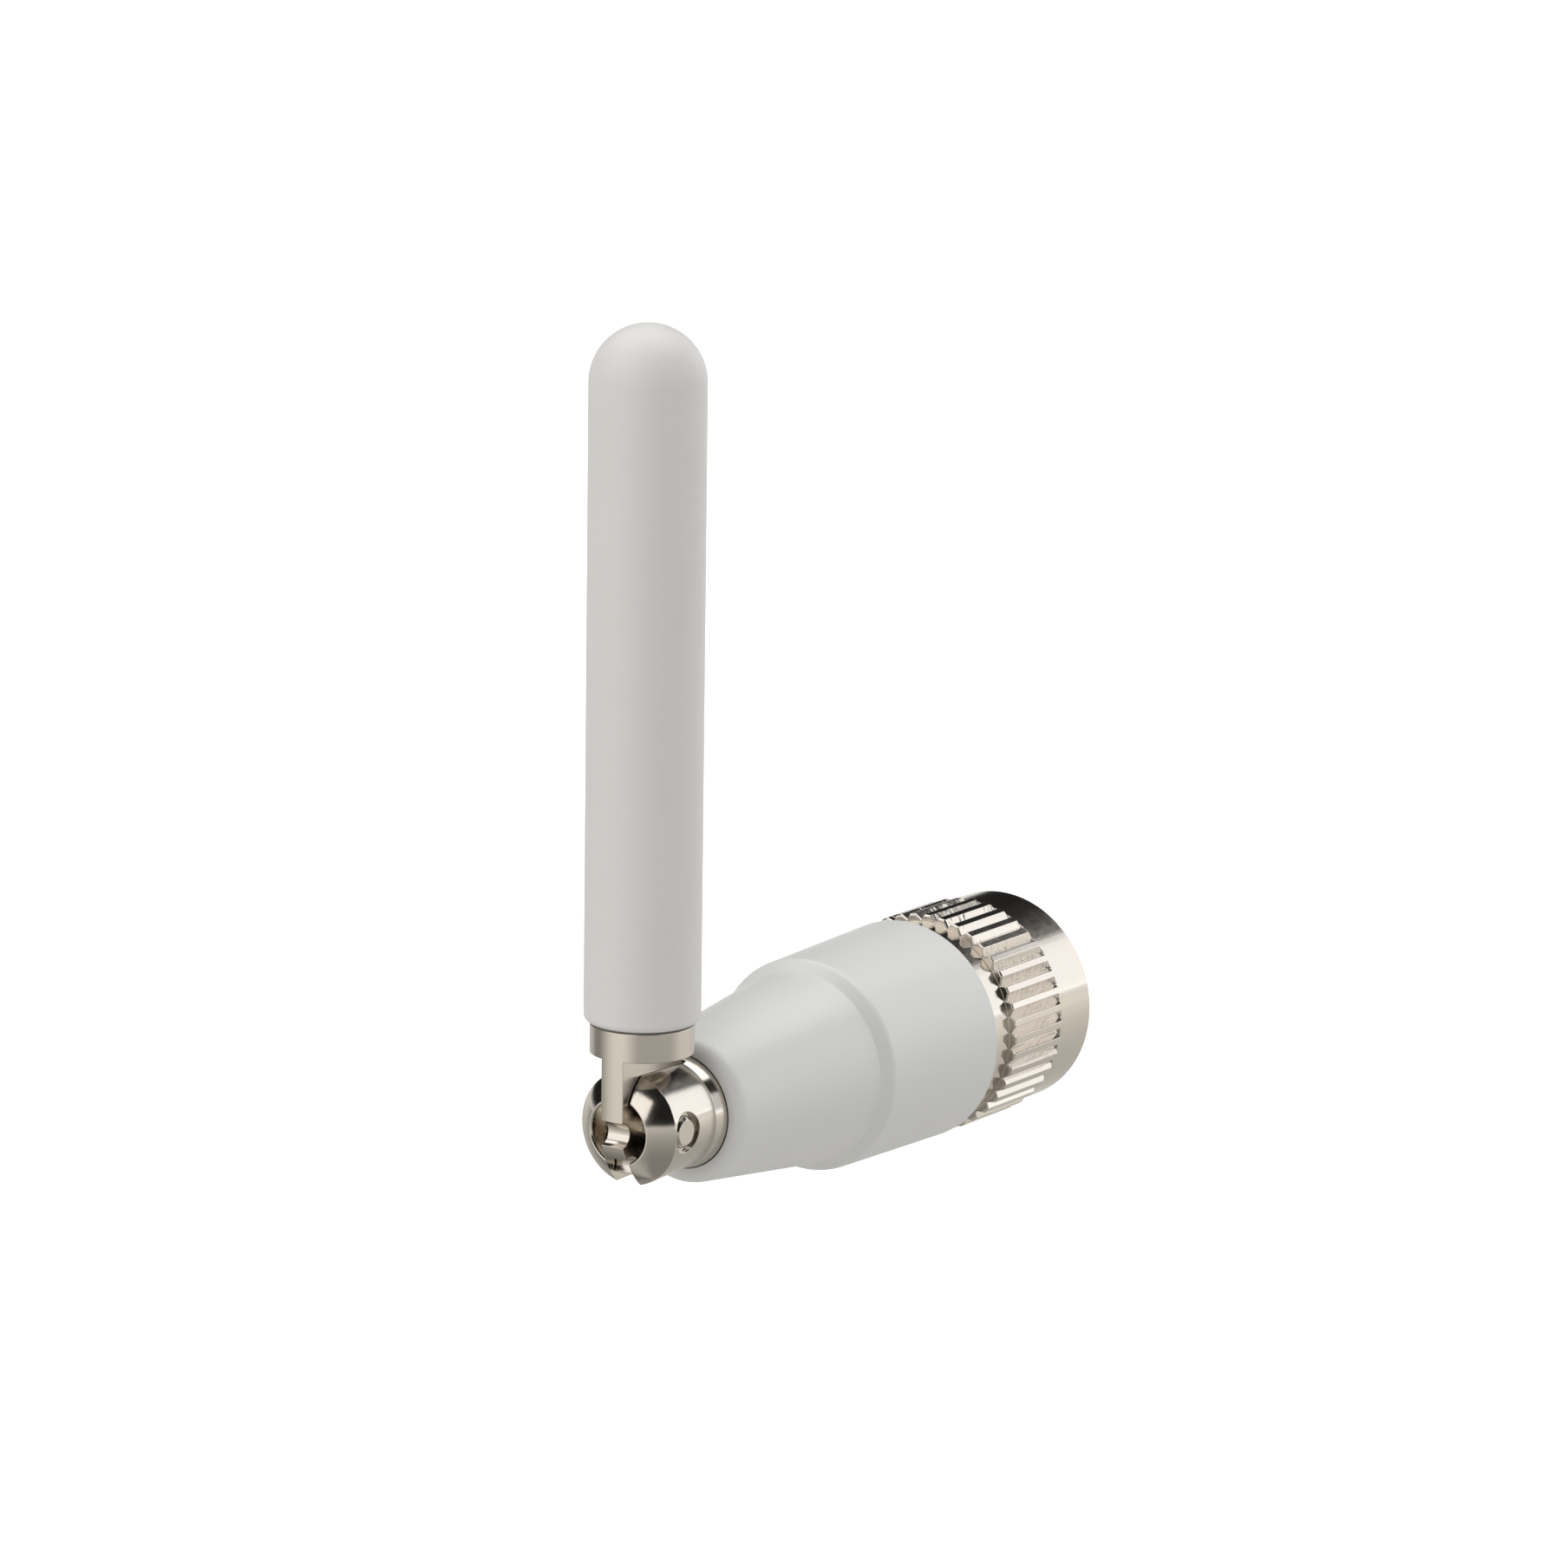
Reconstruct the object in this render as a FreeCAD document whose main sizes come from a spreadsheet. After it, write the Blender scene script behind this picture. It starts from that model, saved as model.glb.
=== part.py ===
import FreeCAD, Part
import Sketcher
import math
import os
from types import SimpleNamespace

# Tilting stub antenna with a threaded coupling nut, in millimetres.
# The connector axis is X and the nut's mouth faces +X. The origin is on that axis, where the
# coupling thread starts. The tube stands up along +Z at the hinge, as it does when bent square.

doc = FreeCAD.newDocument("tilting_antenna")

SIZES = {
    # coupling nut
    "lead_in": 0.45,
    "thread_radius": 5.56,
    "thread_length": 3.45,
    "thread_relief": 0.2,
    "nut_length": 11.44,
    "nut_wall": 1.43,
    "nut_neck_step": 0.27,
    "nut_neck_length": 1.88,
    "tooth_height": 0.26,
    "tooth_length": 5.95,
    "tooth_slant": 0.22,
    "tooth_count": 40,
    "groove_depth": 0.35,
    "groove_steep_run": 0.18,
    "groove_shallow_run": 0.56,
    "groove_offset": 0.31,
    "nut_edge_chamfer": 0.3,
    # plug
    "contact_shell_radius": 4.02,
    "contact_shell_bore": 3.5,
    "contact_shell_length": 5.2,
    "contact_shell_setback": 0.1,
    "contact_shell_land": 0.23,
    "contact_shell_press": 2.45,
    "contact_shell_chamfer": 0.2,
    "gasket_thickness": 1.0,
    "gasket_wall": 1.05,
    "plug_radius": 5.25,
    "plug_front_length": 4.3,
    "plug_flange_radius": 6.0,
    "plug_flange_length": 1.5,
    "plug_tail_radius": 3.8,
    "plug_tail_length": 9.5,
    "plug_tail_bore": 2.6,
    "ring_width": 0.6,
    "ring_depth": 0.3,
    "ring_wall": 0.65,
    "ring_opening": 24.0,
    "insulator_length": 9.0,
    "insulator_setback": 1.5,
    "insulator_nose_radius": 2.0,
    "insulator_nose_length": 0.9,
    "socket_radius": 1.1,
    "socket_bore": 0.69,
    "socket_depth": 4.4,
    "socket_setback": 0.85,
    "socket_slit": 0.25,
    "socket_slit_length": 3.0,
    "socket_collar": 1.4,
    "socket_collar_length": 0.7,
    "cup_length": 1.9,
    "cup_depth": 1.6,
    "rod_radius": 0.5,
    "bead_length": 4.0,
    # moulded sleeve
    "sleeve_length": 25.52,
    "sleeve_front_radius": 4.70,
    "sleeve_front_round": 0.85,
    "cone_length": 13.31,
    "step_length": 0.7,
    "step_height": 0.64,
    "step_chamfer": 0.3,
    "sleeve_draft": 0.31,
    # knuckle
    "hinge_setback": 4.12,
    "knuckle_nose": 2.52,
    "nose_rim_chamfer": 0.1,
    "nose_edge_radius": 2.2,
    "nose_round": 4.4,
    "cheek_front": 1.32,
    "cheek_radius": 3.61,
    "cheek_length": 4.45,
    "cheek_back_radius": 3.5,
    "flange_radius": 3.68,
    "flange_width": 0.92,
    "flange_seat": 0.55,
    "slot_width": 1.8,
    "slot_floor": 3.5,
    "stem_radius": 3.0,
    "stem_length": 9.4,
    "stem_groove": 0.45,
    "stem_groove_width": 1.8,
    "stem_groove_setback": 3.8,
    "detent_bore": 2.03,
    "detent_bore_end": 10.5,
    "rod_seat_depth": 3.0,
    # hinge pin and detent
    "pin_radius": 1.0,
    "pin_length": 6.9,
    "pin_chamfer": 0.2,
    "pin_recess_radius": 1.31,
    "pin_recess_depth": 0.5,
    "plunger_length": 2.9,
    "plunger_nose": 0.95,
    "plunger_tip": 0.8,
    "spring_wire": 0.4,
    "spring_turns": 4.0,
    # tilting arm
    "collar_radius": 3.275,
    "collar_bottom": 4.73,
    "collar_top": 6.55,
    "spigot_length": 5.2,
    "spigot_groove": 0.3,
    "spigot_groove_width": 0.8,
    "tang_width": 1.63,
    "tang_end_radius": 3.2,
    "detent_notch": 0.8,
    "notch_count": 5,
    "notch_sweep": 180.0,
    "radiator_seat_depth": 3.5,
    # radome and radiator
    "bond_thickness": 0.15,
    "tube_radius": 3.66,
    "tube_wall": 0.78,
    "tube_length": 43.8,
    "tube_edge_chamfer": 0.3,
    "dome_thickness": 2.4,
    "radiator_radius": 0.45,
    "radiator_headroom": 1.85,
    "spacer_length": 2.4,
    "lower_spacer_height": 6.0,
    "upper_spacer_drop": 1.2,
    # clearances
    "seat_gap": 0.02,
    "run_gap": 0.06,
    "side_gap": 0.05,
    "nut_gap": 0.12,
    "flange_gap": 0.09,
    "pin_gap": 0.03,
    "detent_gap": 0.08,
}


class Length:
    """A number together with the expression that gives it, so that both stay the same sum."""

    def __init__(self, value, text):
        self.value = value
        self.text = text

    @staticmethod
    def of(other):
        return other if isinstance(other, Length) else Length(float(other), repr(float(other)))

    def __add__(self, other):
        other = Length.of(other)
        return Length(self.value + other.value, f"({self.text} + {other.text})")

    def __sub__(self, other):
        other = Length.of(other)
        return Length(self.value - other.value, f"({self.text} - {other.text})")

    def __mul__(self, other):
        other = Length.of(other)
        return Length(self.value * other.value, f"({self.text} * {other.text})")

    def __truediv__(self, other):
        other = Length.of(other)
        return Length(self.value / other.value, f"({self.text} / {other.text})")

    def __neg__(self):
        return Length(-self.value, f"(-{self.text})")

    __radd__ = __add__


ZERO = Length(0.0, "0")
FULL_TURN = Length(360.0, "360")


def build_sheet():
    """Write each driving size into the sheet and hand back the lengths that stand for the cells."""
    sheet = doc.addObject("Spreadsheet::Sheet", "Sizes")
    for row, (alias, value) in enumerate(SIZES.items(), start=1):
        sheet.set(f"A{row}", alias)
        sheet.set(f"B{row}", str(value))
        sheet.setAlias(f"B{row}", alias)
    doc.recompute()
    return SimpleNamespace(**{alias: Length(float(sheet.get(alias)), f"Sizes.{alias}") for alias in SIZES})


S = build_sheet()
PIECES = []


def origin_part(body, role):
    return next(feature for feature in body.Origin.OriginFeatures if feature.Role == role)


def piece(name):
    body = doc.addObject("PartDesign::Body", name)
    body.Label = name
    PIECES.append(body)
    return body


def sketch_on(body, plane, name, lift=None):
    """A sketch on one of the body's own planes, lifted off it along its normal."""
    sketch = body.newObject("Sketcher::SketchObject", f"{body.Name}_{name}")
    sketch.AttachmentSupport = (origin_part(body, plane), [""])
    sketch.MapMode = "FlatFace"
    if lift is not None:
        sketch.AttachmentOffset = FreeCAD.Placement(FreeCAD.Vector(0, 0, lift.value), FreeCAD.Rotation())
        sketch.setExpression(".AttachmentOffset.Base.z", lift.text)
    return sketch


def hold(sketch, kind, entity, point, length):
    """Fix one coordinate of a point to a named sum, or to the axis itself where it is zero."""
    if length.value == 0.0:
        axis = -2 if kind == "DistanceX" else -1
        sketch.addConstraint(Sketcher.Constraint("PointOnObject", entity, point, axis))
        return
    index = sketch.addConstraint(Sketcher.Constraint(kind, -1, 1, entity, point, length.value))
    sketch.setExpression(f"Constraints[{index}]", length.text)


def outline(sketch, corners, arcs=None):
    """Draw a closed outline through corners, each an (along, across) pair of lengths.

    arcs maps a corner's index to the radius of the arc that runs from it to the next corner,
    bulging to the left of that run if the radius is negative and to the right if it is not.
    """
    arcs = arcs or {}
    points = [FreeCAD.Vector(Length.of(a).value, Length.of(b).value, 0) for a, b in corners]
    first = sketch.GeometryCount
    for index, start in enumerate(points):
        end = points[(index + 1) % len(points)]
        if index in arcs:
            sketch.addGeometry(arc_between(start, end, arcs[index].value), False)
        else:
            sketch.addGeometry(Part.LineSegment(start, end), False)
    ends = [entity_ends(sketch.Geometry[first + index], start) for index, start in enumerate(points)]
    for index, (begin, _) in enumerate(ends):
        before = (index - 1) % len(points)
        sketch.addConstraint(
            Sketcher.Constraint("Coincident", first + before, ends[before][1], first + index, begin)
        )
    for index, (along, across) in enumerate(corners):
        hold(sketch, "DistanceX", first + index, ends[index][0], Length.of(along))
        hold(sketch, "DistanceY", first + index, ends[index][0], Length.of(across))
    for index, radius in arcs.items():
        size = radius if radius.value > 0 else -radius
        number = sketch.addConstraint(Sketcher.Constraint("Radius", first + index, size.value))
        sketch.setExpression(f"Constraints[{number}]", size.text)


def arc_between(start, end, radius):
    """The arc of that radius between two points, bulging to the right of the run if it is positive."""
    chord = end - start
    half = chord.Length / 2
    right = FreeCAD.Vector(chord.y, -chord.x, 0).normalize()
    inward = math.copysign(math.sqrt(max(radius * radius - half * half, 0.0)), -radius)
    centre = (start + end) * 0.5 + right * inward
    first, last = (start, end) if radius > 0 else (end, start)
    begin = math.atan2(first.y - centre.y, first.x - centre.x)
    stop = math.atan2(last.y - centre.y, last.x - centre.x)
    if stop < begin:
        stop += 2 * math.pi
    circle = Part.Circle(centre, FreeCAD.Vector(0, 0, 1), abs(radius))
    return Part.ArcOfCircle(circle, begin, stop)


def entity_ends(entity, start):
    """Which of an entity's two ends, 1 or 2, lies at the start, then the other one."""
    return (1, 2) if (entity.StartPoint - start).Length < 1e-6 else (2, 1)


def disc(sketch, along, across, radius):
    """Draw a circle round a point."""
    along, across, radius = Length.of(along), Length.of(across), Length.of(radius)
    centre = FreeCAD.Vector(along.value, across.value, 0)
    entity = sketch.addGeometry(Part.Circle(centre, FreeCAD.Vector(0, 0, 1), radius.value), False)
    hold(sketch, "DistanceX", entity, 3, along)
    hold(sketch, "DistanceY", entity, 3, across)
    number = sketch.addConstraint(Sketcher.Constraint("Radius", entity, radius.value))
    sketch.setExpression(f"Constraints[{number}]", radius.text)


def turned(body, axis, corners, arcs=None, angle=FULL_TURN):
    """Turn a half outline about X, as (along, radius) corners, or about Z or Y, as (radius, along) ones."""
    sketch = sketch_on(body, "XY_Plane" if axis == "Y" else "XZ_Plane", "profile")
    outline(sketch, corners, arcs)
    turn = body.newObject("PartDesign::Revolution", f"{body.Name}_turned")
    turn.Profile = sketch
    turn.ReferenceAxis = (sketch, ["H_Axis" if axis == "X" else "V_Axis"])
    turn.Angle = angle.value
    turn.setExpression("Angle", angle.text)
    doc.recompute()
    return turn


def rounded(body, base, axis, rims, radius, kind="Fillet"):
    """Round or chamfer circular edges, each given as (along, edge radius), on a turned body."""
    names = []
    for along, edge_radius in rims:
        for index, edge in enumerate(base.Shape.Edges, start=1):
            if edge.Degenerated or not isinstance(edge.Curve, Part.Circle):
                continue
            curve = edge.Curve
            station = curve.Center.x if axis == "X" else curve.Center.z
            centred = abs(station - along.value) < 1e-4 and abs(curve.Radius - edge_radius.value) < 1e-4
            if centred:
                names.append(f"Edge{index}")
    feature = body.newObject(f"PartDesign::{kind}", f"{body.Name}_{kind}_{len(body.Group)}")
    feature.Base = (base, names)
    size = "Radius" if kind == "Fillet" else "Size"
    setattr(feature, size, radius.value)
    feature.setExpression(size, radius.text)
    doc.recompute()
    return feature


def cut_through(body, plane, name, draw):
    """Cut what draw() puts in a sketch on a middle plane right through the body, both ways."""
    sketch = sketch_on(body, plane, name)
    draw(sketch)
    pocket = body.newObject("PartDesign::Pocket", f"{body.Name}_{name}_cut")
    pocket.Profile = sketch
    pocket.Type = "ThroughAll"
    pocket.SideType = "Symmetric"
    doc.recompute()
    return pocket


def at_hinge(body):
    """Move a piece that was drawn about the hinge centre to the hinge."""
    body.Placement = FreeCAD.Placement(FreeCAD.Vector(HINGE.value, 0, 0), FreeCAD.Rotation())
    body.setExpression(".Placement.Base.x", HINGE.text)


# Stations along the connector axis, from the nut's mouth back to the hinge.
NUT_FRONT = S.lead_in
NUT_BACK = NUT_FRONT - S.nut_length
SHELL_TIP = -(S.thread_length + S.contact_shell_setback)
PLUG_FRONT = SHELL_TIP - S.contact_shell_length
SLEEVE_BACK = NUT_BACK - S.nut_gap
SLEEVE_FRONT = SLEEVE_BACK - S.sleeve_length
HINGE = SLEEVE_FRONT - S.hinge_setback
RING_MIDDLE = (NUT_BACK + PLUG_FRONT) / 2
PLUG_FLANGE_FRONT = PLUG_FRONT - S.plug_front_length
PLUG_TAIL_FRONT = PLUG_FLANGE_FRONT - S.plug_flange_length
PLUG_BACK = PLUG_TAIL_FRONT - S.plug_tail_length
INSULATOR_FRONT = SHELL_TIP - S.insulator_setback
INSULATOR_BACK = INSULATOR_FRONT - S.insulator_length
SOCKET_TIP = SHELL_TIP - S.socket_setback
CUP_BACK = INSULATOR_BACK - S.socket_collar_length - S.cup_length

# Radii of the nut and of the sleeve's back, which is flush with the teeth.
NUT_BAND_RADIUS = S.thread_radius + S.nut_wall
NUT_NECK_RADIUS = NUT_BAND_RADIUS - S.nut_neck_step
TOOTH_TIP_RADIUS = NUT_BAND_RADIUS + S.tooth_height
STEP_RADIUS = TOOTH_TIP_RADIUS - S.sleeve_draft
CONE_END_RADIUS = STEP_RADIUS - S.step_height

# Stations measured from the hinge centre, along the tube.
SPIGOT_TOP = S.collar_top + S.spigot_length
TUBE_BOTTOM = S.collar_top + S.bond_thickness
TUBE_TOP = TUBE_BOTTOM + S.tube_length
RADIATOR_BOTTOM = SPIGOT_TOP - S.radiator_seat_depth
RADIATOR_TOP = TUBE_TOP - S.dome_thickness - S.radiator_headroom

# Stations measured from the hinge centre, along the connector axis.
FLANGE_BACK = S.hinge_setback + S.flange_seat
STEM_END = FLANGE_BACK + S.stem_length
PLUNGER_TIP = S.collar_radius + S.detent_gap
PLUNGER_BACK = PLUNGER_TIP + S.plunger_length


def plug_outline(gap):
    """The plug body's outer half outline from its front face back, grown by a gap."""
    return [
        (PLUG_FRONT, S.plug_radius + gap),
        (PLUG_FLANGE_FRONT + gap, S.plug_radius + gap),
        (PLUG_FLANGE_FRONT + gap, S.plug_flange_radius + gap),
        (PLUG_TAIL_FRONT - gap, S.plug_flange_radius + gap),
        (PLUG_TAIL_FRONT - gap, S.plug_tail_radius + gap),
        (PLUG_BACK, S.plug_tail_radius + gap),
    ]


def stem_outline(gap):
    """The knuckle stem's outer half outline behind its flange, from the hinge centre, grown by a gap."""
    groove = S.stem_radius - S.stem_groove + gap
    front = FLANGE_BACK + S.stem_groove_setback + gap
    back = FLANGE_BACK + S.stem_groove_setback + S.stem_groove_width - gap
    return [
        (front, S.stem_radius + gap),
        (front, groove),
        (back, groove),
        (back, S.stem_radius + gap),
        (STEM_END, S.stem_radius + gap),
    ]


def coupling_nut():
    """Turned nut: toothed grip, thread at the mouth, relief behind it and a groove for the snap ring.

    Each groove between teeth is a V with a steep and a shallow flank, drawn to twice its depth.
    """
    body = piece("coupling_nut")
    teeth_back = NUT_BACK + S.nut_neck_length
    teeth_front = teeth_back + S.tooth_length
    rear_bore = S.plug_radius + S.run_gap
    relief = S.thread_radius + S.thread_relief
    groove_radius = S.plug_radius - S.ring_depth + S.ring_wall + S.run_gap
    groove_half = S.ring_width / 2 + S.side_gap
    shoulder = PLUG_FRONT - S.thread_relief
    mouth = S.thread_radius + S.lead_in
    base = turned(body, "X", [
        (NUT_BACK, rear_bore),
        (RING_MIDDLE - groove_half, rear_bore),
        (RING_MIDDLE - groove_half, groove_radius),
        (RING_MIDDLE + groove_half, groove_radius),
        (RING_MIDDLE + groove_half, rear_bore),
        (shoulder, rear_bore),
        (shoulder, relief),
        (-S.thread_length, relief),
        (-S.thread_length, S.thread_radius),
        (ZERO, S.thread_radius),
        (NUT_FRONT, mouth),
        (NUT_FRONT, NUT_BAND_RADIUS),
        (teeth_front, NUT_BAND_RADIUS),
        (teeth_front - S.tooth_slant, TOOTH_TIP_RADIUS),
        (teeth_back + S.tooth_slant, TOOTH_TIP_RADIUS),
        (teeth_back, NUT_NECK_RADIUS),
        (NUT_BACK, NUT_NECK_RADIUS),
    ])
    rims = [(NUT_FRONT, NUT_BAND_RADIUS)]
    rounded(body, base, "X", rims, S.nut_edge_chamfer, "Chamfer")
    sketch = sketch_on(body, "YZ_Plane", "groove", teeth_back - S.tooth_slant)
    outline(sketch, [
        (S.groove_offset, TOOTH_TIP_RADIUS - S.groove_depth),
        (S.groove_offset + S.groove_shallow_run * 2, TOOTH_TIP_RADIUS + S.groove_depth),
        (S.groove_offset - S.groove_steep_run * 2, TOOTH_TIP_RADIUS + S.groove_depth),
    ])
    groove = body.newObject("PartDesign::Pocket", "coupling_nut_groove_cut")
    groove.Profile = sketch
    groove.Type = "Length"
    groove.Reversed = True
    groove.Length = (S.tooth_length + S.tooth_slant).value
    groove.setExpression("Length", (S.tooth_length + S.tooth_slant).text)
    doc.recompute()
    teeth = body.newObject("PartDesign::PolarPattern", "coupling_nut_teeth")
    teeth.Originals = [groove]
    teeth.Axis = (origin_part(body, "X_Axis"), [""])
    teeth.Angle = FULL_TURN.value
    teeth.Occurrences = int(S.tooth_count.value)
    teeth.setExpression("Occurrences", S.tooth_count.text)
    body.Tip = teeth


def retaining_ring():
    """Open snap ring, sprung into the plug's groove, that carries the nut."""
    body = piece("retaining_ring")
    half = S.ring_width / 2
    inner = S.plug_radius - S.ring_depth + S.seat_gap
    outer = inner + S.ring_wall - S.seat_gap
    turned(body, "X", [
        (RING_MIDDLE - half, inner),
        (RING_MIDDLE + half, inner),
        (RING_MIDDLE + half, outer),
        (RING_MIDDLE - half, outer),
    ], angle=FULL_TURN - S.ring_opening)


def gasket():
    """Silicone washer that the socket's rim presses against the plug's front face."""
    body = piece("gasket")
    inner = S.contact_shell_radius + S.contact_shell_land + S.seat_gap
    back = PLUG_FRONT
    front = back + S.gasket_thickness
    turned(body, "X", [
        (back, inner),
        (front, inner),
        (front, inner + S.gasket_wall),
        (back, inner + S.gasket_wall),
    ])


def plug_body():
    """Turned brass plug body: ring groove ahead, an anchoring flange and a tail in the moulding."""
    body = piece("plug_body")
    shell_seat = S.contact_shell_radius + S.contact_shell_land * 2 + S.seat_gap
    shell_seat_back = PLUG_FRONT - S.contact_shell_press
    insulator_bore = S.contact_shell_bore + S.seat_gap
    ring_half = S.ring_width / 2 + S.side_gap / 2
    groove_floor = S.plug_radius - S.ring_depth
    corners = [
        (PLUG_BACK, S.plug_tail_bore),
        (INSULATOR_BACK, S.plug_tail_bore),
        (INSULATOR_BACK, insulator_bore),
        (shell_seat_back, insulator_bore),
        (shell_seat_back, shell_seat),
        (PLUG_FRONT, shell_seat),
        (PLUG_FRONT, S.plug_radius),
        (RING_MIDDLE + ring_half, S.plug_radius),
        (RING_MIDDLE + ring_half, groove_floor),
        (RING_MIDDLE - ring_half, groove_floor),
        (RING_MIDDLE - ring_half, S.plug_radius),
    ]
    turned(body, "X", corners + plug_outline(ZERO)[1:])


def outer_contact():
    """Thin turned shell of the plug, pressed into the plug body, that slides inside the socket's barrel."""
    body = piece("outer_contact")
    land = S.contact_shell_radius + S.contact_shell_land
    press = land + S.contact_shell_land
    land_front = PLUG_FRONT + S.gasket_thickness
    base = turned(body, "X", [
        (PLUG_FRONT - S.contact_shell_press, S.contact_shell_bore),
        (SHELL_TIP, S.contact_shell_bore),
        (SHELL_TIP, S.contact_shell_radius),
        (land_front, S.contact_shell_radius),
        (land_front, land),
        (PLUG_FRONT, land),
        (PLUG_FRONT, press),
        (PLUG_FRONT - S.contact_shell_press, press),
    ])
    rims = [(SHELL_TIP, S.contact_shell_radius)]
    rounded(body, base, "X", rims, S.contact_shell_chamfer, "Chamfer")


def front_insulator():
    """Turned plastic core that holds the centre contact in the shell."""
    body = piece("front_insulator")
    outer = S.contact_shell_bore - S.seat_gap
    bore = S.socket_radius + S.seat_gap
    turned(body, "X", [
        (INSULATOR_BACK, bore),
        (INSULATOR_FRONT + S.insulator_nose_length, bore),
        (INSULATOR_FRONT + S.insulator_nose_length, S.insulator_nose_radius),
        (INSULATOR_FRONT, S.insulator_nose_radius),
        (INSULATOR_FRONT, outer),
        (INSULATOR_BACK, outer),
    ])


def centre_contact():
    """Gilt socket contact with two slits, a retaining collar and a solder cup."""
    body = piece("centre_contact")
    cup_radius = S.socket_radius
    cup_bore = S.rod_radius + S.seat_gap
    turned(body, "X", [
        (CUP_BACK, cup_bore),
        (CUP_BACK + S.cup_depth, cup_bore),
        (CUP_BACK + S.cup_depth, ZERO),
        (SOCKET_TIP - S.socket_depth, ZERO),
        (SOCKET_TIP - S.socket_depth, S.socket_bore),
        (SOCKET_TIP, S.socket_bore),
        (SOCKET_TIP, S.socket_radius),
        (INSULATOR_BACK, S.socket_radius),
        (INSULATOR_BACK, S.socket_collar),
        (INSULATOR_BACK - S.socket_collar_length, S.socket_collar),
        (INSULATOR_BACK - S.socket_collar_length, cup_radius),
        (CUP_BACK, cup_radius),
    ])

    def slit(sketch):
        half = S.socket_slit / 2
        back = SOCKET_TIP - S.socket_slit_length
        front = SOCKET_TIP + S.socket_slit
        outline(sketch, [(back, -half), (front, -half), (front, half), (back, half)])

    cut_through(body, "XY_Plane", "slit", slit)


def rear_insulator():
    """Plastic bead that centres the feed rod in the plug's tail."""
    body = piece("rear_insulator")
    turned(body, "X", [
        (PLUG_BACK, S.rod_radius + S.seat_gap),
        (PLUG_BACK + S.bead_length, S.rod_radius + S.seat_gap),
        (PLUG_BACK + S.bead_length, S.plug_tail_bore - S.seat_gap),
        (PLUG_BACK, S.plug_tail_bore - S.seat_gap),
    ])


def feed_rod():
    """Brass wire soldered between the contact's cup and the knuckle's stem."""
    body = piece("feed_rod")
    back = HINGE + STEM_END - S.rod_seat_depth
    turned(body, "X", [
        (back, ZERO),
        (CUP_BACK + S.cup_depth, ZERO),
        (CUP_BACK + S.cup_depth, S.rod_radius),
        (back, S.rod_radius),
    ])


def sleeve():
    """White moulded sleeve over the plug's tail and the knuckle's stem: cone, step and grip."""
    body = piece("sleeve")
    cone_end = SLEEVE_FRONT + S.cone_length
    step_end = cone_end + S.step_length
    flange_bore = S.flange_radius + S.flange_gap
    stem = [(HINGE + along, across) for along, across in stem_outline(S.seat_gap)]
    plug = list(reversed(plug_outline(S.seat_gap)))
    rod = S.rod_radius + S.seat_gap
    corners = [
        (SLEEVE_FRONT, flange_bore),
        (HINGE + FLANGE_BACK, flange_bore),
        (HINGE + FLANGE_BACK, S.stem_radius + S.seat_gap),
    ] + stem + [
        (HINGE + STEM_END, rod),
        (PLUG_BACK, rod),
    ] + plug[:-1] + [
        (SLEEVE_BACK, S.plug_radius + S.seat_gap),
        (SLEEVE_BACK, TOOTH_TIP_RADIUS),
        (step_end, STEP_RADIUS),
        (cone_end, CONE_END_RADIUS),
        (SLEEVE_FRONT, S.sleeve_front_radius),
    ]
    base = turned(body, "X", corners)
    base = rounded(body, base, "X", [(SLEEVE_FRONT, S.sleeve_front_radius)], S.sleeve_front_round)
    rounded(body, base, "X", [(step_end, STEP_RADIUS)], S.step_chamfer, "Chamfer")


def knuckle():
    """Turned fork of the hinge: rounded nose, two cheeks either side of a slot, and a stem."""
    body = piece("knuckle")
    at_hinge(body)
    cheek_back = S.cheek_length - S.cheek_front
    flange_front = cheek_back + S.flange_width
    rod = S.rod_radius + S.seat_gap
    corners = [
        (S.nose_rim_chamfer - S.knuckle_nose, S.detent_bore),
        (-S.knuckle_nose, S.detent_bore + S.nose_rim_chamfer),
        (-S.knuckle_nose, S.nose_edge_radius),
        (-S.cheek_front, S.cheek_radius),
        (cheek_back, S.cheek_back_radius),
        (flange_front, S.flange_radius),
        (FLANGE_BACK, S.flange_radius),
        (FLANGE_BACK, S.stem_radius),
    ] + stem_outline(ZERO) + [
        (STEM_END, rod),
        (STEM_END - S.rod_seat_depth, rod),
        (STEM_END - S.rod_seat_depth, ZERO),
        (S.detent_bore_end, ZERO),
        (S.detent_bore_end, S.detent_bore),
    ]
    turned(body, "X", corners, {2: -S.nose_round})

    def slot(sketch):
        half = S.slot_width / 2
        front = S.knuckle_nose + S.slot_width
        outline(sketch, [(-front, -half), (S.slot_floor, -half), (S.slot_floor, half), (-front, half)])

    cut_through(body, "XY_Plane", "slot", slot)
    sketch = sketch_on(body, "XY_Plane", "pin_hole")
    recess_floor = S.cheek_radius - S.pin_recess_depth
    beyond = S.cheek_radius + S.pin_recess_depth
    outline(sketch, [
        (ZERO, -beyond),
        (S.pin_recess_radius, -beyond),
        (S.pin_recess_radius, -recess_floor),
        (S.pin_radius + S.seat_gap, -recess_floor),
        (S.pin_radius + S.seat_gap, recess_floor),
        (S.pin_recess_radius, recess_floor),
        (S.pin_recess_radius, beyond),
        (ZERO, beyond),
    ])
    hole = body.newObject("PartDesign::Groove", "knuckle_pin_hole_cut")
    hole.Profile = sketch
    hole.ReferenceAxis = (sketch, ["V_Axis"])
    hole.Angle = FULL_TURN.value
    doc.recompute()


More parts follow.
